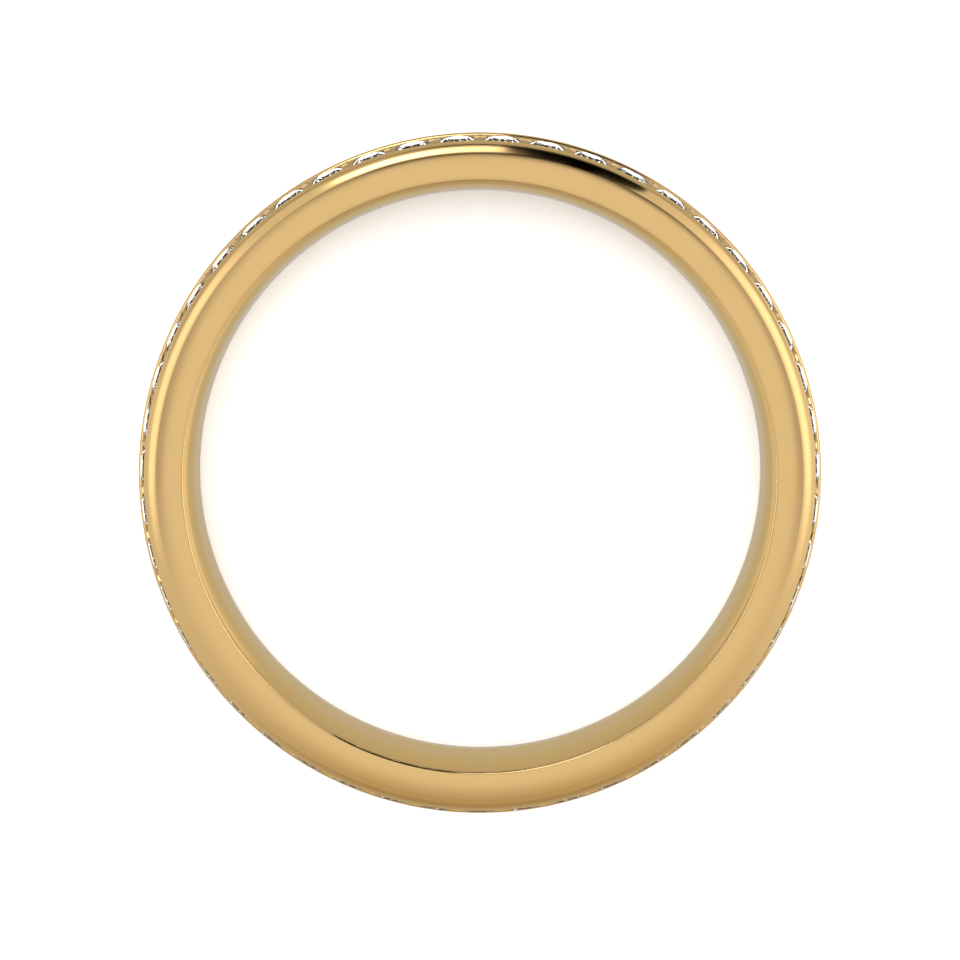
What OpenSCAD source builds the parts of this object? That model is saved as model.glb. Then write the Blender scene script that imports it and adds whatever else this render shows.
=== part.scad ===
// Wedding ring: a comfort-fit gold band with one full row of small brilliants
// set in its upper flank. Millimetres. The finger axis is Z and the ring lies on its side.

/* [Band] */
// Inside diameter at the straight middle of the bore
bore_d = 17.0; // [14:0.1:22]
// Width of the band, along the finger
band_w = 4.7; // [4:0.1:7]
// Thickness of the band, from the bore to the crest of the outside
band_t = 1.69; // [1.5:0.01:2.2]
// Radius of the low dome across the outside
dome_r = 15; // [8:0.5:30]
// Length of the straight middle of the bore
bore_land = 1.2; // [0.8:0.1:2.4]
// Radius of the curve that opens the bore towards both edges
comfort_r = 9.6; // [6:0.1:20]
// Radius of the edge between bore and side face
inner_edge_r = 0.185; // [0.1:0.005:0.4]
// Radius of the shoulder between side face and outside
shoulder_r = 0.45; // [0.3:0.01:0.6]

/* [Stone row] */
// Diameter of one stone across its girdle
stone_d = 1.05; // [0.9:0.01:1.3]
// Least distance between two stones along the row
stone_space = 0.28; // [0.24:0.01:0.5]
// Gap between a stone and the metal
seat_gap = 0.02; // [0.01:0.01:0.03]
// Height of the stones' tables over the strip
table_lift = 0.06; // [0:0.01:0.12]
// Metal left between a seat and either edge of the strip
strip_edge = 0.02; // [0.01:0.01:0.1]
// Lean of the strip towards the upper side face, in degrees
strip_lean = 9.9; // [1:0.1:20]
// Flat at the foot of the rim, beyond the strip
rim_flat = 0.01; // [0.01:0.01:0.15]
// Radius of the polished edge of the rim
rim_r = 0.08; // [0.05:0.01:0.2]

/* [Grains] */
// Radius of a grain, the bead of metal that holds two stones
grain_r = 0.15; // [0.1:0.01:0.16]
// Height of a grain over the strip
grain_h = 0.1; // [0.1:0.01:0.14]
// Rise of the dome on top of a grain
grain_rise = 0.08; // [0.04:0.01:0.08]
// Distance of a grain from the middle line of the row
grain_offset = 0.28; // [0.26:0.01:0.36]

/* [Hidden] */
$fn = 188;

half_w = band_w / 2;
bore_r = bore_d / 2;
overshoot = 0.5;

// Proportions of a brilliant, as shares of its diameter
table_share = 0.57;
crown_share = 0.155;
girdle_share = 0.03;
pavilion_share = 0.431;
// Radius of the stars' and the lower halves' inner corners, as a share of the stone's
star_share = 0.77;
lower_share = 0.23;

// Heights in a stone's own frame, whose plane z = 0 is the strip
crown_h = crown_share * stone_d;
girdle_top = table_lift - crown_h;
girdle_low = girdle_top - girdle_share * stone_d;
culet_z = girdle_low - pavilion_share * stone_d;
seat_r = stone_d / 2 + seat_gap;

// Section points are [distance from the axis, height over the middle plane].
// Each edge round touches the two lines or arcs beside it.
bore_c = [bore_r + comfort_r, bore_land / 2];
dome_c = [bore_r + band_t - dome_r, 0];
inner_c = [bore_c[0] - leg(comfort_r - inner_edge_r, half_w - inner_edge_r - bore_c[1]),
           half_w - inner_edge_r];
lower_c = [dome_c[0] + leg(dome_r - shoulder_r, half_w - shoulder_r), shoulder_r - half_w];

// The strip's outward normal, and its direction from the side face to the crest
strip_n = [cos(strip_lean), sin(strip_lean)];
strip_t = [sin(strip_lean), -cos(strip_lean)];
// The rim stands on the dome at the height where the strip ends, and places the strip
strip_w = 2 * (seat_r + strip_edge);
strip_end = half_w - shoulder_r + shoulder_r * strip_n[1] + strip_w * strip_t[1];
rim_c = [dome_c[0] + leg(dome_r - rim_r, strip_end - rim_r), strip_end - rim_r];
strip_far = [rim_c[0] - rim_flat, strip_end];
strip_near = strip_far - strip_w * strip_t;
row_mid = (strip_near + strip_far) / 2;
upper_c = strip_near - shoulder_r * strip_n;

stone_count = floor(2 * PI * row_mid[0] / (stone_d + stone_space));

function leg(hyp, other) = sqrt(hyp * hyp - other * other);
function flip(p) = [p[0], -p[1]];
// Turn of stone i round the finger axis: stone 0 lies on -Y
function stone_turn(i) = i * 360 / stone_count - 90;
// Point on the ray from a, through b, at a distance of d from b
function beyond(a, b, d) = b + d * (b - a) / norm(b - a);
// A ring of points at radius r and height z, one every 360 / n degrees from the turn
function ring_points(n, r, z, turn = 0) =
    [for (i = [0:n - 1]) [r * cos(turn + i * 360 / n), r * sin(turn + i * 360 / n), z]];

// The part of a disc that lies between the chord p q and a line further out
module bulge(c, r, p, q) {
    mid = (p + q) / 2;
    out = beyond(c, mid, overshoot) - mid;
    intersection() {
        translate(c) circle(r);
        polygon([p, q, q + out, p + out]);
    }
}

// Half section of the band, with the sunk strip in its upper flank
module band_section() {
    bore_top = [bore_r, bore_c[1]];
    inner_touch = beyond(bore_c, inner_c, inner_edge_r);
    lower_touch = beyond(dome_c, lower_c, shoulder_r);
    rim_touch = beyond(dome_c, rim_c, rim_r);
    polygon([
        bore_top, inner_touch, [inner_c[0], half_w], [upper_c[0], half_w], strip_near, strip_far,
        [rim_c[0], strip_end], rim_touch, lower_touch, [lower_c[0], -half_w],
        [inner_c[0], -half_w], flip(inner_touch), flip(bore_top)
    ]);
    for (p = [inner_c, flip(inner_c)]) translate(p) circle(inner_edge_r);
    for (p = [upper_c, lower_c]) translate(p) circle(shoulder_r);
    translate(rim_c) circle(rim_r);
    bulge(bore_c, comfort_r, bore_top, inner_touch);
    bulge(flip(bore_c), comfort_r, flip(bore_top), flip(inner_touch));
    bulge(dome_c, dome_r, rim_touch, lower_touch);
}

// Puts its children in the strip's own frame, x towards the crest and z outwards
module on_strip(turn, x = 0)
    rotate([0, 0, turn])
        translate([row_mid[0], 0, half_w + row_mid[1]])
            rotate([0, 90 - strip_lean, 0]) translate([x, 0, 0]) children();

// Blind seat: a straight opening down to the girdle and a cone round the pavilion
module seat() {
    floor_z = girdle_low - seat_gap;
    translate([0, 0, floor_z]) cylinder(h = overshoot - floor_z, r = seat_r);
    translate([0, 0, culet_z - seat_gap])
        cylinder(h = floor_z - culet_z + seat_gap, r1 = 2 * seat_gap, r2 = seat_r);
}

// Domed bead, whose round foot stands in the metal of the strip
module grain() {
    grain_dome_r = (grain_r * grain_r + grain_rise * grain_rise) / (2 * grain_rise);
    intersection() {
        translate([0, 0, grain_h - grain_dome_r]) sphere(grain_dome_r);
        cylinder(h = 3 * grain_h, r = grain_r, center = true);
    }
}

// Full brilliant: table, stars, kites, upper halves, girdle, lower halves and mains
module brilliant() {
    mains = 8;
    half = 180 / mains;
    r = stone_d / 2;
    table_r = table_share * r;
    star_r = star_share * r;
    lower_r = lower_share * r;
    // The kites and the mains stay flat when their side corners lie on these heights
    star_z = girdle_top + crown_h * (r - star_r * cos(half)) / (r - table_r);
    lower_z = culet_z + (girdle_low - culet_z) * lower_r * cos(half) / r;
    points = concat(
        ring_points(mains, table_r, table_lift), ring_points(mains, star_r, star_z, half),
        ring_points(2 * mains, r, girdle_top), ring_points(2 * mains, r, girdle_low),
        ring_points(mains, lower_r, lower_z, half), [[0, 0, culet_z]]);
    // First index of each ring of points above
    star = mains;
    top = star + mains;
    low = top + 2 * mains;
    lower = low + 2 * mains;
    culet = lower + mains;
    faces = concat(
        [[for (i = [mains - 1:-1:0]) i]],
        [for (i = [0:mains - 1]) each
            let (j = (i + 1) % mains, g = 2 * i, h = g + 1, k = (g + 2) % (2 * mains)) [
                [i, j, star + i],
                [j, star + j, top + k, star + i],
                [star + i, top + h, top + g],
                [star + i, top + k, top + h],
                [top + g, top + h, low + h, low + g],
                [top + h, top + k, low + k, low + h],
                [lower + i, low + g, low + h],
                [lower + i, low + h, low + k],
                [culet, lower + i, low + k, lower + j]
            ]]);
    polyhedron(points, faces, convexity = 2);
}

module band() {
    color("#E0BC7E") difference() {
        union() {
            translate([0, 0, half_w]) rotate_extrude() band_section();
            for (i = [0:stone_count - 1], side = [-1, 1])
                on_strip(stone_turn(i + 0.5), side * grain_offset) grain($fn = 32);
        }
        for (i = [0:stone_count - 1]) on_strip(stone_turn(i)) seat($fn = 48);
    }
}

module stone_row() {
    color("#EEF2F6")
        for (i = [0:stone_count - 1]) on_strip(stone_turn(i)) brilliant();
}

band();
stone_row();
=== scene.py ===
# %% [markdown]
# # A gold wedding ring with a row of small brilliants
#
# The ring lies on its side on a pale table. It is one piece of 18 carat gold: a comfort-fit
# band with rounded shoulders, and a narrow strip along the upper flank in which 47 small
# diamonds sit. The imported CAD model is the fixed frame. This script keeps its sizes and makes
# the shapes finer, then adds the finishes, the light and the camera.

import bpy
import numpy as np
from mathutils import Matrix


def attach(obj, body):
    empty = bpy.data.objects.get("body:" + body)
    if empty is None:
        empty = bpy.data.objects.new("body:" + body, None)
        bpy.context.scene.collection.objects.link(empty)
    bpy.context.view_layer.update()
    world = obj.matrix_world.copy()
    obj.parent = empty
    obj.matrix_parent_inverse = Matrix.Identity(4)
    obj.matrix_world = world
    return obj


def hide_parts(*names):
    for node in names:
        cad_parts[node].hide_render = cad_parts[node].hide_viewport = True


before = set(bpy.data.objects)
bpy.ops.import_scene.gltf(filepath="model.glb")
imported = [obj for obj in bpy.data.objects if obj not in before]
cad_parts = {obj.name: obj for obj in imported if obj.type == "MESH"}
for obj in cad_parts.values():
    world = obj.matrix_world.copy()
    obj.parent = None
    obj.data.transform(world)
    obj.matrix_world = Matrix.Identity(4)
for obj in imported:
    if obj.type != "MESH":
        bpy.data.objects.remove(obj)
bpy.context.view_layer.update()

# %% [markdown]
# ## Sizes
#
# A ring is a section turned round the finger axis, so a dozen numbers describe it. They are in
# millimetres, as on the goldsmith's drawing, and become metres only when a mesh is made.
# Heights in the section are counted from the middle plane of the band.

# %% Sizes of the band and of the stone row, in millimetres
MM = 0.001
BORE_R = 8.5
HALF_W = 2.35
BAND_T = 1.69
DOME_R = 15.0
BORE_LAND = 1.2
COMFORT_R = 9.6
SHOULDER_R = 0.45
RIM_R = 0.08
RIM_FLAT = 0.01
STRIP_LEAN = np.radians(9.9)
# The strip's edge rises a little to the lip beside the shoulder, and dips beside the rim
NEAR_LIP = 0.005
FAR_DIP = 0.014

STONE_COUNT = 47
STONE_R = 0.525
TABLE_LIFT = 0.036
SEAT_R = 0.545
STRIP_EDGE = 0.02
STRIP_W = 2 * (SEAT_R + STRIP_EDGE)
PITCH = 2 * np.pi / STONE_COUNT
print("band", 2 * BORE_R, "mm inside,", 2 * HALF_W, "mm wide,", STONE_COUNT, "stones of", 2 * STONE_R)

# %% [markdown]
# ## The section of the band
#
# A polished ring has no truly flat face and no sharp outer edge: the buffing wheel leaves each
# side face slightly crowned, so a reflection slides smoothly over it. The section is therefore
# made of arcs that touch each other. Every edge arc is found from the two curves beside it,
# which needs only one construction: the crossing of two circles.

# %% Arcs, and the crossing of two circles
CROWDED = 1.0


def arc(centre, radius, start, end, steps, crowd=0.0):
    """Points at centre + radius * (cos a, sin a), with a running from start to end in radians.
    With crowd at 1 the points gather at both ends, where the shading has to turn."""
    share = np.linspace(0, 1, steps + 1)
    gathered = (1 - np.cos(np.pi * share)) / 2
    angle = start + (end - start) * (share + crowd * (gathered - share))
    return centre + radius * np.stack([np.cos(angle), np.sin(angle)], 1)


def crossing(centre_a, radius_a, centre_b, radius_b, side):
    """Where two circles cross. Along the line of centres the point lies at
    (d^2 + ra^2 - rb^2) / 2d, and beside it by the rest of ra, to the side given as +1 or -1."""
    line = centre_b - centre_a
    distance = np.hypot(*line)
    along = (distance**2 + radius_a**2 - radius_b**2) / (2 * distance)
    beside = side * np.sqrt(radius_a**2 - along**2)
    unit = line / distance
    return centre_a + along * unit + beside * np.array([-unit[1], unit[0]])


def direction(centre, point):
    """Angle of the line from centre to point, in radians."""
    return np.arctan2(point[1] - centre[1], point[0] - centre[0])


# %% Strip, rim and crowned faces
strip_normal = np.array([np.cos(STRIP_LEAN), np.sin(STRIP_LEAN)])
strip_down = np.array([np.sin(STRIP_LEAN), -np.cos(STRIP_LEAN)])
dome_c = np.array([BORE_R + BAND_T - DOME_R, 0.0])
strip_end = HALF_W - SHOULDER_R + SHOULDER_R * strip_normal[1] + STRIP_W * strip_down[1]
rim_z = strip_end - RIM_R
rim_c = np.array([dome_c[0] + np.sqrt((DOME_R - RIM_R) ** 2 - rim_z**2), rim_z])
strip_far = np.array([rim_c[0] - RIM_FLAT, strip_end])
strip_near = strip_far - STRIP_W * strip_down
row_mid = (strip_near + strip_far) / 2

# The buffed face is an arc whose top touches the face's plane
FACE_CROWN_R = 4.8
FACE_TOP_R = 9.129
face_c = np.array([FACE_TOP_R, HALF_W - FACE_CROWN_R])
bore_c = np.array([BORE_R + COMFORT_R, BORE_LAND / 2])
print("row at", row_mid.round(3), "from the axis and the middle plane")

# %% The inner edge
# The crown eases down, meets the rolled edge of the bore, and the corner between is just broken
EASE_R = 1.08
EASE_FROM = np.radians(93.69)
ROLL_R = 0.352
ROLL_FROM = np.radians(170.81)
CRISP_R = 0.03
ease_c = face_c + (FACE_CROWN_R - EASE_R) * np.array([np.cos(EASE_FROM), np.sin(EASE_FROM)])
roll_c = bore_c + (COMFORT_R - ROLL_R) * np.array([np.cos(ROLL_FROM), np.sin(ROLL_FROM)])
crisp_c = crossing(ease_c, EASE_R - CRISP_R, roll_c, ROLL_R - CRISP_R, 1)
print("ease, roll and crisp centres", ease_c.round(4), roll_c.round(4), crisp_c.round(4))

# %% The two shoulders
# The upper shoulder touches the crown and ends in a thin lip over the strip
shoulder_end = strip_near + NEAR_LIP * strip_normal
reach = shoulder_end - face_c
shoulder_r = (reach @ reach - FACE_CROWN_R**2) / (2 * (reach @ strip_normal - FACE_CROWN_R))
upper_c = shoulder_end - shoulder_r * strip_normal
# The lower one has the same radius, and touches the dome and the lower crown
lower_c = crossing(dome_c, DOME_R - shoulder_r, face_c, FACE_CROWN_R - shoulder_r, 1)
print("shoulder radius", round(shoulder_r, 4), "centres", upper_c.round(4), lower_c.round(4))

# %% The whole section, from the strip's upper edge over face, bore and dome to its lower edge
def flip(points):
    """The same points mirrored in the middle plane and taken backwards."""
    return points[::-1] * np.array([1.0, -1.0])


# An arc has as many steps as its curve needs to look round in a close view
shoulder = arc(upper_c, shoulder_r, STRIP_LEAN, direction(face_c, upper_c), 14)
crown = arc(face_c, FACE_CROWN_R, direction(face_c, upper_c), EASE_FROM, 12, CROWDED)
ease_end = direction(ease_c, crisp_c)
ease = arc(ease_c, EASE_R, EASE_FROM, ease_end, 3)
roll_start = direction(roll_c, crisp_c)
crisp = arc(crisp_c, CRISP_R, ease_end, roll_start, 4)
roll = arc(roll_c, ROLL_R, roll_start, ROLL_FROM, 5)
comfort = arc(bore_c, COMFORT_R, ROLL_FROM, np.pi, 6, CROWDED)
inner_edge = np.concatenate([ease, crisp[1:], roll[1:]])
low_crown_start = direction(face_c, lower_c)
low_crown = arc(face_c, FACE_CROWN_R, low_crown_start, EASE_FROM, 8, CROWDED)
low_shoulder = arc(lower_c, shoulder_r, direction(dome_c, lower_c), low_crown_start, 10)
upper_half = np.concatenate([shoulder, crown[1:], inner_edge[1:], comfort[1:]])
lower_half = flip(np.concatenate([low_shoulder, low_crown[1:], inner_edge[1:], comfort[1:]]))
print("face, edges and bore:", len(upper_half) + len(lower_half), "points")

# %% The dome and the rim beside the stones
# The rim eases in from the dome, its crest is round, and its edge towards the stones is just
# broken, over a fine groove
FLANK_R = 0.23
FLANK_END = np.radians(30)
CREST_R = 0.065
CREST_RISE = 0.012
BROKEN_R = 0.008
GROOVE_DEPTH = 0.035
flank_z = strip_end + CREST_RISE - CREST_R - (FLANK_R - CREST_R) * np.sin(FLANK_END)
flank_c = np.array([dome_c[0] + np.sqrt((DOME_R - FLANK_R) ** 2 - flank_z**2), flank_z])
crest_c = flank_c + (FLANK_R - CREST_R) * np.array([np.cos(FLANK_END), np.sin(FLANK_END)])
flank_start = direction(dome_c, flank_c)
dome = arc(dome_c, DOME_R, -direction(dome_c, lower_c), flank_start, 11, CROWDED)
flank = arc(flank_c, FLANK_R, flank_start, FLANK_END, 4)
crest = arc(crest_c, CREST_R, FLANK_END, np.pi / 2, 5)
broken = arc(crest_c + np.array([0.0, CREST_R - BROKEN_R]), BROKEN_R, np.pi / 2, np.pi, 3)
strip_foot = strip_far - FAR_DIP * strip_normal
groove = np.array([(strip_foot[0] + broken[-1][0]) / 2, strip_end - GROOVE_DEPTH])
section = np.concatenate([
    upper_half, lower_half, dome[1:], flank[1:], crest[1:], broken[1:], [groove, strip_foot]
])
print("section:", len(section), "points, lowest", section[:, 1].min(), "widest", section[:, 0].max())
print("strip ends at", strip_foot.round(4), "and the rim starts at", broken[-1].round(4))

# %% [markdown]
# ## From arrays to a mesh
#
# Every new piece here is worked out as whole numpy arrays and handed to Blender in one go, which
# is quick and leaves no vertex to chance. The helper takes the faces in blocks, each of faces
# with one number of corners, and a pair of texture coordinates for every corner. A print tells
# whether each edge has exactly two faces, so that the piece is a closed solid.

# %% Make a piece from points, faces and texture coordinates
def make_piece(name, points, blocks, uv_blocks, sharp_over=None):
    """A mesh object at the origin. points are millimetres, blocks are (faces, corners) arrays of
    point numbers and uv_blocks matching (faces, corners, 2) arrays. Edges that turn more than
    sharp_over degrees stay crisp; with None each face is flat."""
    mesh = bpy.data.meshes.new(name)
    corners = np.concatenate([b.ravel() for b in blocks]).astype(np.int32)
    sizes = np.concatenate([np.full(len(b), b.shape[1]) for b in blocks])
    mesh.vertices.add(len(points))
    mesh.vertices.foreach_set("co", (points * MM).ravel())
    mesh.loops.add(len(corners))
    mesh.loops.foreach_set("vertex_index", corners)
    mesh.polygons.add(len(sizes))
    mesh.polygons.foreach_set("loop_start", (np.cumsum(sizes) - sizes).astype(np.int32))
    mesh.update(calc_edges=True)
    layer = mesh.uv_layers.new(name="UVMap")
    layer.data.foreach_set("uv", np.concatenate([b.reshape(-1, 2) for b in uv_blocks]).ravel())
    if sharp_over is None:
        mesh.shade_flat()
    else:
        mesh.shade_smooth()
        mesh.set_sharp_from_angle(angle=np.radians(sharp_over))
    piece = bpy.data.objects.new(name, mesh)
    bpy.context.scene.collection.objects.link(piece)
    report_piece(piece, blocks)
    return piece


def report_piece(piece, blocks):
    """Prints the size of a piece and whether each of its edges joins exactly two faces."""
    pairs = [np.stack([b, np.roll(b, -1, 1)], -1).reshape(-1, 2) for b in blocks]
    edges = np.sort(np.concatenate(pairs), 1)
    uses = np.unique(edges, axis=0, return_counts=True)[1]
    triangles = sum(len(b) * (b.shape[1] - 2) for b in blocks)
    print(piece.name, len(piece.data.vertices), "points", triangles, "triangles, closed:", set(uses) == {2})


# %% [markdown]
# ## The gold: band, strip and seats in one piece
#
# The section is turned round the axis in 47 times 16 steps, so that every stone has 16 of them.
# It is left open along the strip, and 47 equal tiles close it. Each tile is a net stretched
# between its own border and the round seat of its stone: the points go round the seat, and the
# rings lead from the border inwards to the bright-cut edge, the wall and the cone under the
# stone. Two sides of the border repeat the end points of the band's section, and the other two
# are shared with the next tiles, so a weld closes the metal point for point.

# %% Turn the section round the finger axis
STEPS_PER_STONE = 16
STEPS = STONE_COUNT * STEPS_PER_STONE
turns = -np.pi / 2 - PITCH / 2 + np.arange(STEPS) * 2 * np.pi / STEPS


def turned(profile, angles):
    """Each profile point (r, z) at each angle a becomes (r cos a, r sin a, z + half width)."""
    radius = profile[None, :, 0]
    height = np.broadcast_to(profile[None, :, 1] + HALF_W, (len(angles), len(profile)))
    return np.stack([np.cos(angles)[:, None] * radius, np.sin(angles)[:, None] * radius, height], -1)


def grid_faces(across, along, closed):
    """Four-cornered faces of a grid whose point (i, j) has number i * along + j; a closed grid
    joins its last row to its first."""
    i = np.arange(across if closed else across - 1)[:, None]
    j = np.arange(along - 1)[None, :]
    k = (i + 1) % across
    return np.stack([i * along + j, k * along + j, k * along + j + 1, i * along + j + 1], -1).reshape(-1, 4)


band_points = turned(section, turns).reshape(-1, 3)
band_faces = grid_faces(STEPS, len(section), True)
profile_run = np.concatenate([[0], np.cumsum(np.hypot(*np.diff(section, axis=0).T))])
step_run = np.arange(STEPS + 1) * 2 * np.pi * row_mid[0] / STEPS
u_grid, v_grid = np.meshgrid(step_run, profile_run, indexing="ij")
flat_uv = np.stack([u_grid, v_grid], -1).reshape(-1, 2)
open_faces = grid_faces(STEPS + 1, len(section), False)
band_uv = flat_uv[open_faces]
print("turned section:", len(band_points), "points")

# %% Sizes of the seats, the ledge and the stones
# A bright-cut bevel runs round each seat, from the radius CUT_R, or from CUT_SHARE of the way to
# the border where that is less, down to the seat's wall
CUT_R = 0.555
CUT_SHARE = 0.8
CUT_SLOPE = 1.2
VISIBLE_SEAT_R = 0.532
SEAT_GAP = 0.02
SEAT_FOOT_R = 0.05
# Height of the ledge, where down the slope its wall ends and starts, and the scooped part's depth
LEDGE_H = 0.015
LEDGE_TOP = 0.28
LEDGE_FOOT = 0.275
RECESS = 0.022
# A brilliant's parts as shares of its diameter
CROWN_SHARE = 0.125
GIRDLE_SHARE = 0.03
PAVILION_SHARE = 0.431
girdle_top = TABLE_LIFT - CROWN_SHARE * 2 * STONE_R
girdle_low = girdle_top - GIRDLE_SHARE * 2 * STONE_R
culet_z = girdle_low - PAVILION_SHARE * 2 * STONE_R
print("girdle and culet heights", round(girdle_top, 3), round(girdle_low, 3), round(culet_z, 3))


# %% One tile of the strip, in the frame of its stone
def on_strip(angle, down, lift):
    """Point over the strip's cone at a turn from the stone, a distance down the slope and a lift
    along the cone's own normal, in the stone's frame: x down the slope, y round, z outwards."""
    radius = row_mid[0] + down * strip_down[0] + lift * strip_normal[0]
    rise = down * strip_down[1] + lift * strip_normal[1]
    out = radius * np.cos(angle) - row_mid[0]
    x = out * strip_down[0] + rise * strip_down[1]
    z = out * strip_normal[0] + rise * strip_normal[1]
    return np.stack([x, radius * np.sin(angle), z], -1)


def strip_height(x, y):
    """Height of the strip's cone over the stone's plane: the root of k h^2 + 2 (a / c) h + y^2 = 0,
    with a the cone's radius at x, c and s the cosine and sine of its lean, k = (c^2 - s^2) / c^2."""
    s = np.sin(STRIP_LEAN)
    c = np.cos(STRIP_LEAN)
    k = (c * c - s * s) / (c * c)
    a = (row_mid[0] + x * s) / c
    return (np.sqrt(a * a - k * y * y) - a) / k


# The quarter of the strip beside the rim stands up as a low ledge, and the rest is scooped out a
# little, so that a thin lip is left along the shoulder. The rows go from the rim to the shoulder
side_turns = np.linspace(-PITCH / 2, PITCH / 2, STEPS_PER_STONE + 1)
inner_downs = np.array([0.545, 0.42, LEDGE_TOP, LEDGE_FOOT, 0.14, 0.0, -0.14, -0.28, -0.42, -0.54])
end_downs = np.concatenate([[STRIP_W / 2], inner_downs, [-STRIP_W / 2]])
end_steps = len(end_downs) - 1
net_lifts = np.interp(end_downs, [LEDGE_FOOT, LEDGE_TOP], [-RECESS, LEDGE_H])
edge_lifts = np.concatenate([[-FAR_DIP], net_lifts[1:-1], [NEAR_LIP]])
border = np.concatenate([
    on_strip(side_turns[:-1], np.full(STEPS_PER_STONE, STRIP_W / 2), -FAR_DIP),
    on_strip(np.full(end_steps, PITCH / 2), end_downs[:-1], edge_lifts[:-1]),
    on_strip(side_turns[:0:-1], np.full(STEPS_PER_STONE, -STRIP_W / 2), NEAR_LIP),
    on_strip(np.full(end_steps, -PITCH / 2), end_downs[:0:-1], edge_lifts[:0:-1]),
])
far_side = np.full(STEPS_PER_STONE, LEDGE_H)
near_side = np.full(STEPS_PER_STONE, -RECESS)
lifts = np.concatenate([far_side, net_lifts[:-1], near_side, net_lifts[:0:-1]])
rays = border[:, :2] / np.hypot(border[:, 0], border[:, 1])[:, None]
border_far = np.hypot(border[:, 0], border[:, 1])
print("tile border:", len(border), "points")

# %% The rings of the tile, from the border to the bottom of the seat
cut_start = np.minimum(CUT_R, VISIBLE_SEAT_R + CUT_SHARE * (border_far - VISIBLE_SEAT_R))


def tile_ring(distance, drop):
    """Points on the rays at a distance from the stone's axis, lying a drop under the cone."""
    flat = rays * distance[:, None]
    return np.column_stack([flat, strip_height(flat[:, 0], flat[:, 1]) - drop + lifts])


def deep_ring(distance, height):
    """Points on the rays at a distance from the stone's axis, all at one height."""
    return np.column_stack([rays * distance, np.full(len(rays), height)])


third = (border_far - cut_start) / 3
cut_drop = CUT_SLOPE * (cut_start - VISIBLE_SEAT_R)
tile = np.stack([
    border,
    tile_ring(cut_start + 2 * third, 0),
    tile_ring(cut_start + third, 0),
    tile_ring(cut_start, 0),
    tile_ring(np.full(len(rays), VISIBLE_SEAT_R), cut_drop),
    deep_ring(VISIBLE_SEAT_R, girdle_low - SEAT_GAP),
    deep_ring(SEAT_FOOT_R, culet_z - SEAT_GAP),
])
print("tile:", tile.shape)

# %% Place the tiles along the row
stone_turns = -np.pi / 2 + np.arange(STONE_COUNT) * PITCH
gap_turns = stone_turns + PITCH / 2


def placed(shapes, angles):
    """Shapes from the stone's frame to the strip, one for each angle or one for all of them: from
    the row's middle by x down the slope, y round the ring and z along the strip's normal."""
    x, y, z = np.moveaxis(shapes, -1, 0)
    out = row_mid[0] + x * strip_down[0] + z * strip_normal[0]
    rise = row_mid[1] + HALF_W + x * strip_down[1] + z * strip_normal[1]
    lead = (len(angles),) + (1,) * (x.ndim - 1)
    cos = np.cos(angles).reshape(lead)
    sin = np.sin(angles).reshape(lead)
    return np.stack(np.broadcast_arrays(out * cos - y * sin, out * sin + y * cos, rise), -1)


tiles = placed(tile[None], stone_turns)
rings = tile.shape[0]
around = tile.shape[1]
ring_no = np.arange(rings - 1)[:, None]
ray_no = np.arange(around)[None, :]
next_ray = (ray_no + 1) % around
tile_faces = np.stack([
    ring_no * around + ray_no,
    ring_no * around + next_ray,
    (ring_no + 1) * around + next_ray,
    (ring_no + 1) * around + ray_no,
], -1).reshape(-1, 4)
tile_starts = len(band_points) + np.arange(STONE_COUNT)[:, None, None] * rings * around
all_tile_faces = (tile_faces[None] + tile_starts).reshape(-1, 4)
cap_faces = ((rings - 1) * around + np.arange(around)[None] + tile_starts[:, 0]).reshape(-1, around)
# The tiles' hairlines run round the ring too, in a part of the texture that the band leaves free
TILE_UV_START = -5.0
tile_uv_points = (tile[..., [1, 0]] + np.array([0.0, TILE_UV_START])).reshape(-1, 2)
tile_uv = np.tile(tile_uv_points[tile_faces], (STONE_COUNT, 1, 1))
cap_uv = np.tile(tile_uv_points[-around:][None], (STONE_COUNT, 1, 1))
print("tiles:", tiles.shape)

# %% Weld the tiles to the band and to each other
CELLS_PER_MM = 1e4
CELL_START = 0.37


def weld(points, blocks):
    """Points in the same cell of space, a ten-thousandth of a millimetre wide, become one. The
    cells start beside zero, so that no round size lies on the wall of a cell."""
    key = np.floor(points * CELLS_PER_MM + CELL_START).astype(np.int64)
    first, number = np.unique(key, axis=0, return_index=True, return_inverse=True)[1:]
    number = number.ravel()
    return points[first], [number[b] for b in blocks]


gold_points = np.concatenate([band_points, tiles.reshape(-1, 3)])
gold_points, gold_blocks = weld(gold_points, [band_faces, all_tile_faces, cap_faces])
band = make_piece("gold_band", gold_points, gold_blocks, [band_uv, tile_uv, cap_uv], sharp_over=28)

# %% [markdown]
# ## The grains
#
# The setter raises a small bead of gold between two stones with a graver and rounds it with a
# hollow punch, until it grips both girdles. Each grain is a low dome on a short foot that stands
# in the strip. Hand work is never quite even, so each one differs a little in size and place.

# %% One grain: a foot and a dome turned round their own axis
GRAIN_R = 0.09
GRAIN_H = 0.05
GRAIN_RISE = 0.04
GRAIN_NECK = 0.03
GRAIN_DEPTH = 0.06
GRAIN_TAPER = 0.96
GRAIN_SIDES = 16
DOME_RINGS = 6
grain_dome_r = (GRAIN_R**2 + GRAIN_RISE**2) / (2 * GRAIN_RISE)
dome_angles = np.linspace(np.arcsin(GRAIN_R / grain_dome_r), 0, DOME_RINGS)[:-1]
dome_profile = np.stack([
    grain_dome_r * np.sin(dome_angles), GRAIN_H - grain_dome_r * (1 - np.cos(dome_angles))
], 1)
grain_foot = [[GRAIN_R * GRAIN_TAPER, -GRAIN_DEPTH], [GRAIN_R, GRAIN_H - GRAIN_RISE - GRAIN_NECK]]
grain_profile = np.concatenate([grain_foot, dome_profile])
spokes = np.arange(GRAIN_SIDES) * 2 * np.pi / GRAIN_SIDES
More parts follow.
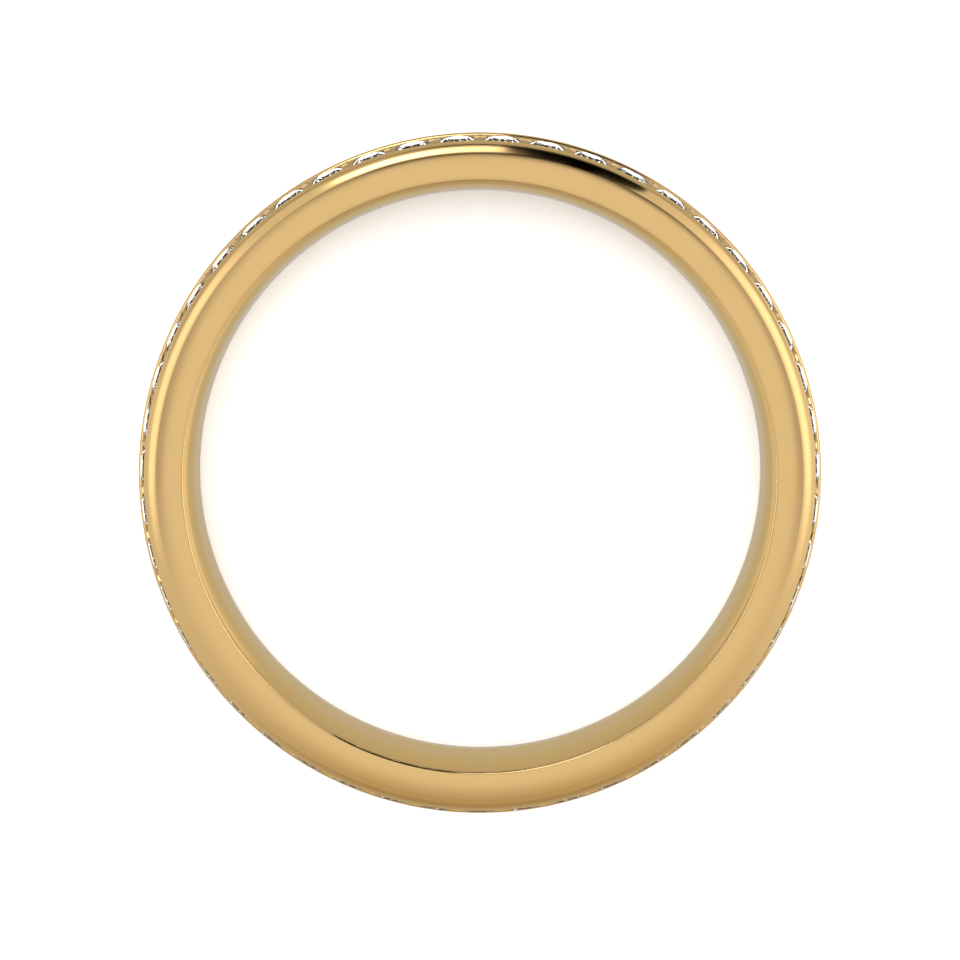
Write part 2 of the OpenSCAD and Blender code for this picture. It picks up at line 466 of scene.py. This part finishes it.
grain = np.stack([
    np.cos(spokes)[:, None] * grain_profile[None, :, 0],
    np.sin(spokes)[:, None] * grain_profile[None, :, 0],
    np.broadcast_to(grain_profile[None, :, 1], (GRAIN_SIDES, len(grain_profile))),
], -1)
print("one grain:", grain.shape)

# %% Two grains for each gap: one in the scooped part, sunk with it, and one on the ledge
GRAIN_NEAR = -0.27
GRAIN_NEAR_SINK = 0.04
GRAIN_FAR = 0.4
SMALLEST_GRAIN = 0.93
LARGEST_GRAIN = 1.05
GRAIN_DRIFT = 0.006
random = np.random.default_rng(47)
grain_count = 2 * STONE_COUNT
grain_size = random.uniform(SMALLEST_GRAIN, LARGEST_GRAIN, (grain_count, 1, 1, 1))
grain_shift = random.normal(0, GRAIN_DRIFT, (grain_count, 1, 1, 2))
grain_row = np.repeat([GRAIN_NEAR, GRAIN_FAR], STONE_COUNT).reshape(-1, 1, 1)
grain_sink = np.repeat([GRAIN_NEAR_SINK, 0.0], STONE_COUNT).reshape(-1, 1, 1)
grains = grain[None] * grain_size
grains[..., :2] += grain_shift
grains[..., 0] += grain_row
grains[..., 2] -= grain_sink
print("grains:", grains.shape)

# %% Place the grains
grain_points = placed(grains, np.tile(gap_turns, 2))
profile_length = len(grain_profile)
one_grain_faces = grid_faces(GRAIN_SIDES, profile_length, True)
grain_starts = (np.arange(grain_count) * GRAIN_SIDES * profile_length)[:, None, None]
grain_sides = (one_grain_faces[None] + grain_starts).reshape(-1, 4)
rim_numbers = np.arange(GRAIN_SIDES) * profile_length
grain_feet = (rim_numbers[None, ::-1] + grain_starts[:, 0]).reshape(-1, GRAIN_SIDES)
grain_tops = (rim_numbers[None] + profile_length - 1 + grain_starts[:, 0]).reshape(-1, GRAIN_SIDES)
grain_flat = grain_points.reshape(-1, 3)
grain_uv_points = grains[..., :2].reshape(-1, 2)
grain_blocks = [grain_sides, grain_feet, grain_tops]
grain_uv = [grain_uv_points[b] for b in grain_blocks]
grain_piece = make_piece("setting_grains", grain_flat, grain_blocks, grain_uv, sharp_over=40)

# %% [markdown]
# ## The brilliants
#
# A round brilliant has 57 facets: the table, 8 stars, 8 kites and 16 upper halves on the crown,
# and 16 lower halves and 8 mains on the pavilion. Its girdle is a true circle, so each upper
# half meets it in a shallow curve, and the girdle comes out scalloped. Where a facet's plane
# meets the circle follows from the plane's slope, so the facets stay perfectly flat, as light
# demands. Each stone is set at a turn of its own, as they come out of the setter's tweezers.

# %% Corners of one brilliant
MAINS = 8
STEPS_PER_ARC = 4
GIRDLE_STEPS = 2 * MAINS * STEPS_PER_ARC
HALF_ARC = np.pi / (2 * MAINS)
# Radii of the table's corners and of the stars' and lower halves' inner corners, as shares of
# the stone's radius
TABLE_SHARE = 0.63
STAR_SHARE = 0.8
LOWER_SHARE = 0.23
table_r = TABLE_SHARE * STONE_R
star_r = STAR_SHARE * STONE_R
lower_r = LOWER_SHARE * STONE_R
half_turn = np.pi / MAINS
crown_height = TABLE_LIFT - girdle_top
star_z = girdle_top + crown_height * (STONE_R - star_r * np.cos(half_turn)) / (STONE_R - table_r)
lower_z = culet_z + (girdle_low - culet_z) * lower_r * np.cos(half_turn) / STONE_R


def ring_of(count, radius, height, turn=0.0):
    """count points (radius cos a, radius sin a, height), with a in equal steps from turn. The
    height is one number, or one for each point."""
    angles = turn + np.arange(count) * 2 * np.pi / count
    return np.stack([radius * np.cos(angles), radius * np.sin(angles), np.broadcast_to(height, count)], -1)


# How far the circle bulges past the chord of its facet, at each girdle point
along_arc = (np.arange(GIRDLE_STEPS) % STEPS_PER_ARC) * 2 * np.pi / GIRDLE_STEPS
bulge = STONE_R * (np.cos(along_arc - HALF_ARC) - np.cos(HALF_ARC))
upper_slope = (star_z - girdle_top) / ((STONE_R - star_r) * np.cos(HALF_ARC))
lower_slope = (girdle_low - lower_z) / ((STONE_R - lower_r) * np.cos(HALF_ARC))
brilliant = np.concatenate([
    ring_of(MAINS, table_r, TABLE_LIFT),
    ring_of(MAINS, star_r, star_z, half_turn),
    ring_of(GIRDLE_STEPS, STONE_R, girdle_top - upper_slope * bulge),
    ring_of(GIRDLE_STEPS, STONE_R, girdle_low + lower_slope * bulge),
    ring_of(MAINS, lower_r, lower_z, half_turn),
    [[0.0, 0.0, culet_z]],
])
print("crown and pavilion slopes", round(upper_slope, 3), round(lower_slope, 3))

# %% Facets of one brilliant
# First point of each ring of corners, in the order of the list above
STAR = MAINS
TOP = 2 * MAINS
LOW = TOP + GIRDLE_STEPS
LOWER = LOW + GIRDLE_STEPS
CULET = LOWER + MAINS
i = np.arange(MAINS)[:, None]
j = (i + 1) % MAINS
g = np.arange(GIRDLE_STEPS)[:, None]
# The kites and mains reach the girdle at every second arc
kite_ends = 2 * STEPS_PER_ARC * j
half_arcs = np.arange(2 * MAINS)[:, None]
arc_points = (STEPS_PER_ARC * half_arcs + np.arange(STEPS_PER_ARC + 1)) % GIRDLE_STEPS
table_facet = np.arange(MAINS)[None]
star_facets = np.hstack([i, STAR + i, j])
kite_facets = np.hstack([j, STAR + i, TOP + kite_ends, STAR + j])
upper_facets = np.hstack([STAR + half_arcs // 2, TOP + arc_points])
girdle_faces = np.hstack([TOP + g, LOW + g, LOW + (g + 1) % GIRDLE_STEPS, TOP + (g + 1) % GIRDLE_STEPS])
lower_facets = np.hstack([LOWER + half_arcs // 2, LOW + arc_points[:, ::-1]])
main_facets = np.hstack([np.full_like(i, CULET), LOWER + j, LOW + kite_ends, LOWER + i])
facet_blocks = [table_facet, star_facets, kite_facets, upper_facets, girdle_faces, lower_facets, main_facets]
print("facets:", sum(len(b) for b in facet_blocks) - len(girdle_faces))

# %% Set the stones, each turned round its own axis by a random angle
spin = random.uniform(0, 2 * np.pi, (STONE_COUNT, 1))
bx = brilliant[None, :, 0] * np.cos(spin) - brilliant[None, :, 1] * np.sin(spin)
by = brilliant[None, :, 0] * np.sin(spin) + brilliant[None, :, 1] * np.cos(spin)
bz = np.broadcast_to(brilliant[None, :, 2], bx.shape)
stones = placed(np.stack([bx, by, bz], -1), stone_turns)
stone_starts = (np.arange(STONE_COUNT) * len(brilliant))[:, None, None]
stone_blocks = [(b[None] + stone_starts).reshape(-1, b.shape[1]) for b in facet_blocks]
stone_uv = np.tile(brilliant[:, :2], (STONE_COUNT, 1))
brilliants = make_piece(
    "brilliants", stones.reshape(-1, 3), stone_blocks, [stone_uv[b] for b in stone_blocks]
)

# %% [markdown]
# ## Finishes
#
# A material is a small network of nodes. Colours are written as the hex values a paint chart
# would give, and one function turns them into the linear light that Cycles works with.

# %% Colour and node helpers
def linear(hex_colour):
    """sRGB hex to linear light: c / 12.92 for the darkest values, else ((c + 0.055) / 1.055)^2.4."""
    part = np.array([int(hex_colour[k:k + 2], 16) for k in (1, 3, 5)]) / 255
    light = np.where(part <= 0.04045, part / 12.92, ((part + 0.055) / 1.055) ** 2.4)
    return (*light.tolist(), 1.0)


def add(tree, kind, inputs=None, **settings):
    """Adds a node, sets its options, and fills its inputs with links or with plain values."""
    node = tree.nodes.new(kind)
    for option, value in settings.items():
        setattr(node, option, value)
    for socket, value in (inputs or {}).items():
        if isinstance(value, bpy.types.NodeSocket):
            tree.links.new(value, node.inputs[socket])
        else:
            node.inputs[socket].default_value = value
    return node


def new_material(name):
    """An empty node material and its tree."""
    material = bpy.data.materials.new(name)
    material.use_nodes = True
    material.node_tree.nodes.clear()
    return material, material.node_tree


# %% [markdown]
# ### Polished 18 carat yellow gold
# Gold is a metal, so all its colour is in the reflection. The band was turned, filed and buffed
# on a wheel that runs along it: what is left is a mirror with a very slight haze, and fine
# hairlines round the ring. They are a few hundredths of a millimetre apart, and follow the
# texture coordinates, whose first number runs round the ring in millimetres. The cuts between
# the stones are the same metal, worked with other tools, so one function makes all of them. The
# darker colours of the scooped part and the seats are painted shade.

# %% Gold
# Noise cells per millimetre round the ring and across it, and per metre for the patches of haze
LINES_ALONG = 0.35
LINES_ACROSS = 22.0
HAZE_PATCHES = 900.0


def worked_gold(name, colour, roughness, line_height):
    """Metallic gold with a slight haze that varies in soft patches, a millimetre across, and tool
    lines of the given height in millimetres. At a grazing look the colour turns pale."""
    material, tree = new_material(name)
    place = add(tree, "ShaderNodeTexCoord")
    stretch = add(tree, "ShaderNodeMapping", {
        "Vector": place.outputs["UV"], "Scale": (LINES_ALONG, LINES_ACROSS, 1.0)
    })
    lines = add(tree, "ShaderNodeTexNoise", {
        "Vector": stretch.outputs["Vector"], "Scale": 1.0, "Detail": 3.0, "Roughness": 0.6
    })
    patches = add(tree, "ShaderNodeTexNoise", {
        "Vector": place.outputs["Object"], "Scale": HAZE_PATCHES, "Detail": 2.0
    })
    haze = add(tree, "ShaderNodeMapRange", {
        "Value": patches.outputs["Fac"], "From Min": 0.3, "From Max": 0.7,
        "To Min": roughness - 0.02, "To Max": roughness + 0.03
    })
    relief = add(tree, "ShaderNodeBump", {
        "Height": lines.outputs["Fac"], "Strength": 1.0, "Distance": line_height * MM
    })
    metal = add(tree, "ShaderNodeBsdfPrincipled", {
        "Base Color": linear(colour), "Specular Tint": linear("#FCF1CD"), "Metallic": 1.0,
        "Roughness": haze.outputs["Result"], "Normal": relief.outputs["Normal"]
    })
    add(tree, "ShaderNodeOutputMaterial", {"Surface": metal.outputs["BSDF"]})
    return material


# %% The five finishes of the gold; the scooped part and the seats carry painted shade
# The band is buffed: a clear mirror, a little soft
band_gold = worked_gold("polished_yellow_gold", "#F7CE8C", 0.09, 0.0003)
# The grains are pressed round by a hollow punch, which leaves a softer shine
grain_gold = worked_gold("beaded_yellow_gold", "#F2C47E", 0.16, 0.0004)
# The ledge is cut with a flat polished graver: bright, with a fine grain of its strokes
ledge_gold = worked_gold("bright_cut_gold", "#E0BA7E", 0.12, 0.0005)
# The scooped part is cut with a round graver, which leaves it rougher and rippled; its darker colour is
# painted shade of the recess
scoop_gold_shaded = worked_gold("graver_cut_gold_painted_shade", "#B58D58", 0.18, 0.0008)
# The seats are drilled and left dull; their dark colour is painted shade under the stones
seat_gold_shaded = worked_gold("drilled_seat_gold_painted_shade", "#7A6646", 0.45, 0.002)
grain_piece.data.materials.append(grain_gold)
for finish in (band_gold, ledge_gold, scoop_gold_shaded, seat_gold_shaded):
    band.data.materials.append(finish)
print("finishes on the band:", [finish.name for finish in band.data.materials])

# %% Which finish each face of the band has
POLISHED, LEDGE, SCOOPED_SHADED, DRILLED_SHADED = range(4)
on_ledge = np.maximum(lifts, np.roll(lifts, -1)) > 0
cut_numbers = np.tile(np.where(on_ledge, LEDGE, SCOOPED_SHADED), rings - 2)
tile_numbers = np.tile(np.concatenate([cut_numbers, np.full(around, DRILLED_SHADED)]), STONE_COUNT)
material_numbers = np.concatenate([
    np.full(len(band_faces), POLISHED), tile_numbers, np.full(STONE_COUNT, DRILLED_SHADED)
])
band.data.polygons.foreach_set("material_index", material_numbers.astype(np.int32))
print("faces polished, bright-cut, scooped and drilled:", np.bincount(material_numbers))

# The gold is kept out of its own reflections, whose second bounce would turn every nook orange
band.visible_glossy = False
grain_piece.visible_glossy = False

# %% [markdown]
# ### Diamond
#
# Diamond bends light more than almost any other clear stone: its index of 2.417 keeps light
# bouncing inside until it leaves by a facet, which gives the sharp black and white pattern. The
# facets are polished on a fast wheel, whose lines are too fine to show in the render. They are
# drawn as a coarser relief, a tenth of a millimetre across and under a thousandth high, which
# stirs the sparkle a little.

# %% Diamond
diamond, tree = new_material("brilliant_cut_diamond")
stone_place = add(tree, "ShaderNodeTexCoord")
facet_grain = add(tree, "ShaderNodeTexNoise", {
    "Vector": stone_place.outputs["Object"], "Scale": 9000.0, "Detail": 2.0
})
facet_relief = add(tree, "ShaderNodeBump", {
    "Height": facet_grain.outputs["Fac"], "Strength": 1.0, "Distance": 0.0006 * MM
})
gem = add(tree, "ShaderNodeBsdfPrincipled", {
    "Base Color": linear("#FCFDFF"), "Roughness": 0.0, "IOR": 2.417, "Transmission Weight": 1.0,
    "Normal": facet_relief.outputs["Normal"]
})
add(tree, "ShaderNodeOutputMaterial", {"Surface": gem.outputs["BSDF"]})
brilliants.data.materials.append(diamond)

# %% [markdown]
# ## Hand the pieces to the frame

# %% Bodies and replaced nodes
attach(band, "root")
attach(grain_piece, "root")
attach(brilliants, "root")
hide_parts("band")
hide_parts("stone_row")

# %% [markdown]
# ## The studio
#
# Polished metal shows nothing but its surroundings, so the studio matters as much as the ring.
# A small product studio has a white ceiling with some shade in it, softboxes left and right, a
# warm wall in front, a bright panel behind the ring, and a black card beside it, which draws the
# dark line that makes gold look like metal. The world shader holds these as soft-edged panels,
# each given by the direction it lies in, and a panel covers those that come before it.

# %% Direction of a ray as two angles in degrees
world = bpy.data.worlds.new("studio")
bpy.context.scene.world = world
world.use_nodes = True
studio = world.node_tree
studio.nodes.clear()
view = add(studio, "ShaderNodeTexCoord")
axes = add(studio, "ShaderNodeSeparateXYZ", {"Vector": view.outputs["Generated"]})
turn_rad = add(studio, "ShaderNodeMath", {0: axes.outputs["Y"], 1: axes.outputs["X"]}, operation="ARCTAN2")
turn_deg = add(studio, "ShaderNodeMath", {0: turn_rad.outputs[0]}, operation="DEGREES")
lean_rad = add(studio, "ShaderNodeMath", {0: axes.outputs["Z"]}, operation="ARCCOSINE")
lean_deg = add(studio, "ShaderNodeMath", {0: lean_rad.outputs[0]}, operation="DEGREES")


def window(angle, centre, half, soft, wraps):
    """1 within half degrees of the centre, falling smoothly to 0 over soft degrees beyond."""
    away = add(studio, "ShaderNodeMath", {0: angle, 1: centre}, operation="SUBTRACT")
    if wraps:
        away = add(studio, "ShaderNodeMath", {0: away.outputs[0], 1: 180.0, 2: -180.0}, operation="WRAP")
    size = add(studio, "ShaderNodeMath", {0: away.outputs[0]}, operation="ABSOLUTE")
    fade = add(studio, "ShaderNodeMapRange", {
        "Value": size.outputs[0], "From Min": half, "From Max": half + soft, "To Min": 1.0, "To Max": 0.0
    }, interpolation_type="SMOOTHSTEP")
    return fade.outputs["Result"]


# %% The panels: turn, half width and softness, lean from overhead, half height and softness, brightness
panels = [
    ("front wall", 268, 0, 54, 90, 90, 1, 0.49),
    ("front wall's foot", 268, 10, 45, 80, 16, 12, 0.41),
    ("table before the ring", 268, 20, 30, 138, 28, 10, 0.5),
    ("right wall", 12, 10, 60, 90, 90, 1, 0.86),
    ("left wall", 158, 15, 55, 90, 90, 1, 0.74),
    ("right wall's foot", 45, 16, 24, 105, 10, 12, 0.6),
    ("left wall's foot", 135, 16, 24, 108, 14, 12, 0.5),
    ("right softbox", 13, 12, 26, 54, 4, 42, 1.54),
    ("left softbox", 168, 14, 20, 52, 6, 38, 1.32),
    ("back of the table", 91, 52, 12, 146, 38, 8, 0.54),
    ("table edge", 91, 34, 14, 100, 8, 4, 0.42),
    ("under the ring", 0, 180, 1, 180, 18, 14, 0.56),
    ("overhead", 0, 180, 1, 0, 4, 18, 0.81),
    ("left ceiling shade", 162, 32, 25, 15, 1, 7.5, 0.5),
    ("ceiling shade", 45, 60, 30, 14, 2, 4, 0.5),
    ("ceiling shadow", 80, 22, 42, 14.5, 3.5, 3, 0.12),
    ("black card", 72, 13.5, 0.8, 54, 35, 3, 0.0),
    ("bright panel", 102.2, 16, 1, 48, 19.5, 3, 1.9),
    ("bright panel's middle", 107, 3, 12, 48, 16, 6, 3.2),
    ("table line", 84, 12, 14, 90, 4, 4, 0.1),
]
ROOM_GLOW = 0.65
glow = add(studio, "ShaderNodeValue")
glow.outputs[0].default_value = ROOM_GLOW
brightness = glow.outputs[0]
for name, turn, half, soft, lean, tall, fade, level in panels:
    across = window(turn_deg.outputs[0], turn, half, soft, True)
    height = window(lean_deg.outputs[0], lean, tall, fade, False)
    mask = add(studio, "ShaderNodeMath", {0: across, 1: height}, operation="MULTIPLY", label=name)
    mixed = add(studio, "ShaderNodeMix", {"Factor": mask.outputs[0], "A": brightness, "B": level})
    brightness = mixed.outputs["Result"]
print("studio panels:", len(panels))

# %% What the stones see
# Their facets are mirror-sharp and show the panels with more contrast, so the brightness is
# squared. They also show the lit table top below them, towards the back of the room
GEM_ROOM = 0.9
GEM_TABLE = 2.3
ray = add(studio, "ShaderNodeLightPath")
lit_end = window(turn_deg.outputs[0], 90, 80, 85, True)
lit_table = window(lean_deg.outputs[0], 180, 23, 5, False)
table_glow = add(studio, "ShaderNodeMath", {0: lit_end, 1: lit_table}, operation="MULTIPLY")
gem_table = add(studio, "ShaderNodeMath", {0: table_glow.outputs[0], 1: GEM_TABLE}, operation="MULTIPLY")
contrast = add(studio, "ShaderNodeMath", {0: brightness, 1: brightness}, operation="MULTIPLY")
gem_level = add(studio, "ShaderNodeMath", {
    0: contrast.outputs[0], 1: GEM_ROOM, 2: gem_table.outputs[0]
}, operation="MULTIPLY_ADD")
seen_level = add(studio, "ShaderNodeMix", {
    "Factor": ray.outputs["Is Singular Ray"], "A": brightness, "B": gem_level.outputs[0]
})
print("world nodes:", len(studio.nodes))

# %% World output: the panels light the ring, and the camera sees a plain pale backdrop
# The front wall is painted a warm tone, which tints the side of the ring that faces it
warm_turn = window(turn_deg.outputs[0], 272, 15, 40, True)
warm_height = window(lean_deg.outputs[0], 55, 35, 12, False)
warmth = add(studio, "ShaderNodeMath", {0: warm_turn, 1: warm_height}, operation="MULTIPLY")
# In a mix of colours the two colours are inputs 6 and 7, and their mixture is output 2
tone = add(studio, "ShaderNodeMix", {
    0: warmth.outputs[0], 6: linear("#FFFFFF"), 7: linear("#FFF3DC")
}, data_type="RGBA")
panel_light = add(studio, "ShaderNodeBackground", {
    "Color": tone.outputs[2], "Strength": seen_level.outputs["Result"]
})
backdrop = add(studio, "ShaderNodeBackground", {"Color": linear("#FFFFFF"), "Strength": 1.0})
both = add(studio, "ShaderNodeMixShader", {
    0: ray.outputs["Is Camera Ray"], 1: panel_light.outputs[0], 2: backdrop.outputs[0]
})
add(studio, "ShaderNodeOutputWorld", {"Surface": both.outputs[0]})

# %% [markdown]
# ### Table and overhead light
#
# The table top is matt white paper, lit until it is almost pure white, so that the ring stands
# free on it with only a soft contact shadow. It stays out of the metal's reflections, because the
# world's lower half already stands for it. It lies a hair under the ring, so that their two
# surfaces don't share one plane.

# %% Table
TABLE_SIZE = 600.0
TABLE_DROP = 0.004
table_square = np.array([[-1, -1], [1, -1], [1, 1], [-1, 1]]) * TABLE_SIZE / 2
table_points = np.column_stack([table_square, np.full(4, -TABLE_DROP)])
table = make_piece("table_top", table_points, [np.arange(4)[None]], [table_square[None]])
table_white, tree = new_material("matt_white_table")
# Paper grain: 4000 cells per metre, so a quarter of a millimetre across, and very low
PAPER_GRAIN = 4000.0
paper_place = add(tree, "ShaderNodeTexCoord")
paper_grain = add(tree, "ShaderNodeTexNoise", {
    "Vector": paper_place.outputs["Object"], "Scale": PAPER_GRAIN
})
paper_relief = add(tree, "ShaderNodeBump", {
    "Height": paper_grain.outputs["Fac"], "Strength": 0.2, "Distance": 0.02 * MM
})
paper = add(tree, "ShaderNodeBsdfPrincipled", {
    "Base Color": linear("#F4F5F7"), "Roughness": 0.9, "Normal": paper_relief.outputs["Normal"]
})
add(tree, "ShaderNodeOutputMaterial", {"Surface": paper.outputs["BSDF"]})
table.data.materials.append(table_white)
table.visible_glossy = False

# %% Overhead softbox, in metres and watts
box_light = bpy.data.lights.new("overhead_softbox", "AREA")
box_light.shape = "SQUARE"
box_light.size = 0.35
box_light.energy = 2.4
overhead = bpy.data.objects.new("overhead_softbox", box_light)
overhead.location = (0.0, 0.05, 0.45)
overhead.visible_glossy = False
bpy.context.scene.collection.objects.link(overhead)
print("softbox", box_light.size, "m across,", box_light.energy, "W")

# %% [markdown]
# ## The camera
#
# The photograph looks almost straight down the finger axis from about ten centimetres, with a
# slight lean, so that the bore's far wall shows a little at the lower side. The lens and the
# distance are given so that the ring's near and far edges have the right perspective, and the
# small shift puts the ring where the photograph has it.

# %% Camera
CAMERA_LEAN = np.radians(4.057)
CAMERA_SWING = np.radians(0.197)
CAMERA_DISTANCE = 96.48
FOCAL_PIXELS = 3210.9
IMAGE_PIXELS = 960
SHIFT_PIXELS = (0.084, -6.655)
SENSOR_MM = 36.0
lens_data = bpy.data.cameras.new("camera")
lens_data.sensor_fit = "HORIZONTAL"
lens_data.sensor_width = SENSOR_MM
lens_data.lens = FOCAL_PIXELS / IMAGE_PIXELS * SENSOR_MM
lens_data.shift_x = SHIFT_PIXELS[0] / IMAGE_PIXELS
lens_data.shift_y = SHIFT_PIXELS[1] / IMAGE_PIXELS
lens_data.clip_start = 0.005
lens_data.clip_end = 20.0
camera = bpy.data.objects.new("camera", lens_data)
toward_camera = np.array([
    np.cos(CAMERA_LEAN) * np.sin(CAMERA_SWING),
    np.sin(CAMERA_LEAN),
    np.cos(CAMERA_LEAN) * np.cos(CAMERA_SWING),
])
camera.location = (np.array([0.0, 0.0, HALF_W]) + CAMERA_DISTANCE * toward_camera) * MM
camera.rotation_euler = (-CAMERA_LEAN, CAMERA_SWING, 0.0)
bpy.context.scene.collection.objects.link(camera)
bpy.context.scene.camera = camera
bpy.context.scene.view_settings.view_transform = "Standard"
print("camera at", [round(v, 4) for v in camera.location], "lens", round(lens_data.lens, 1), "mm")
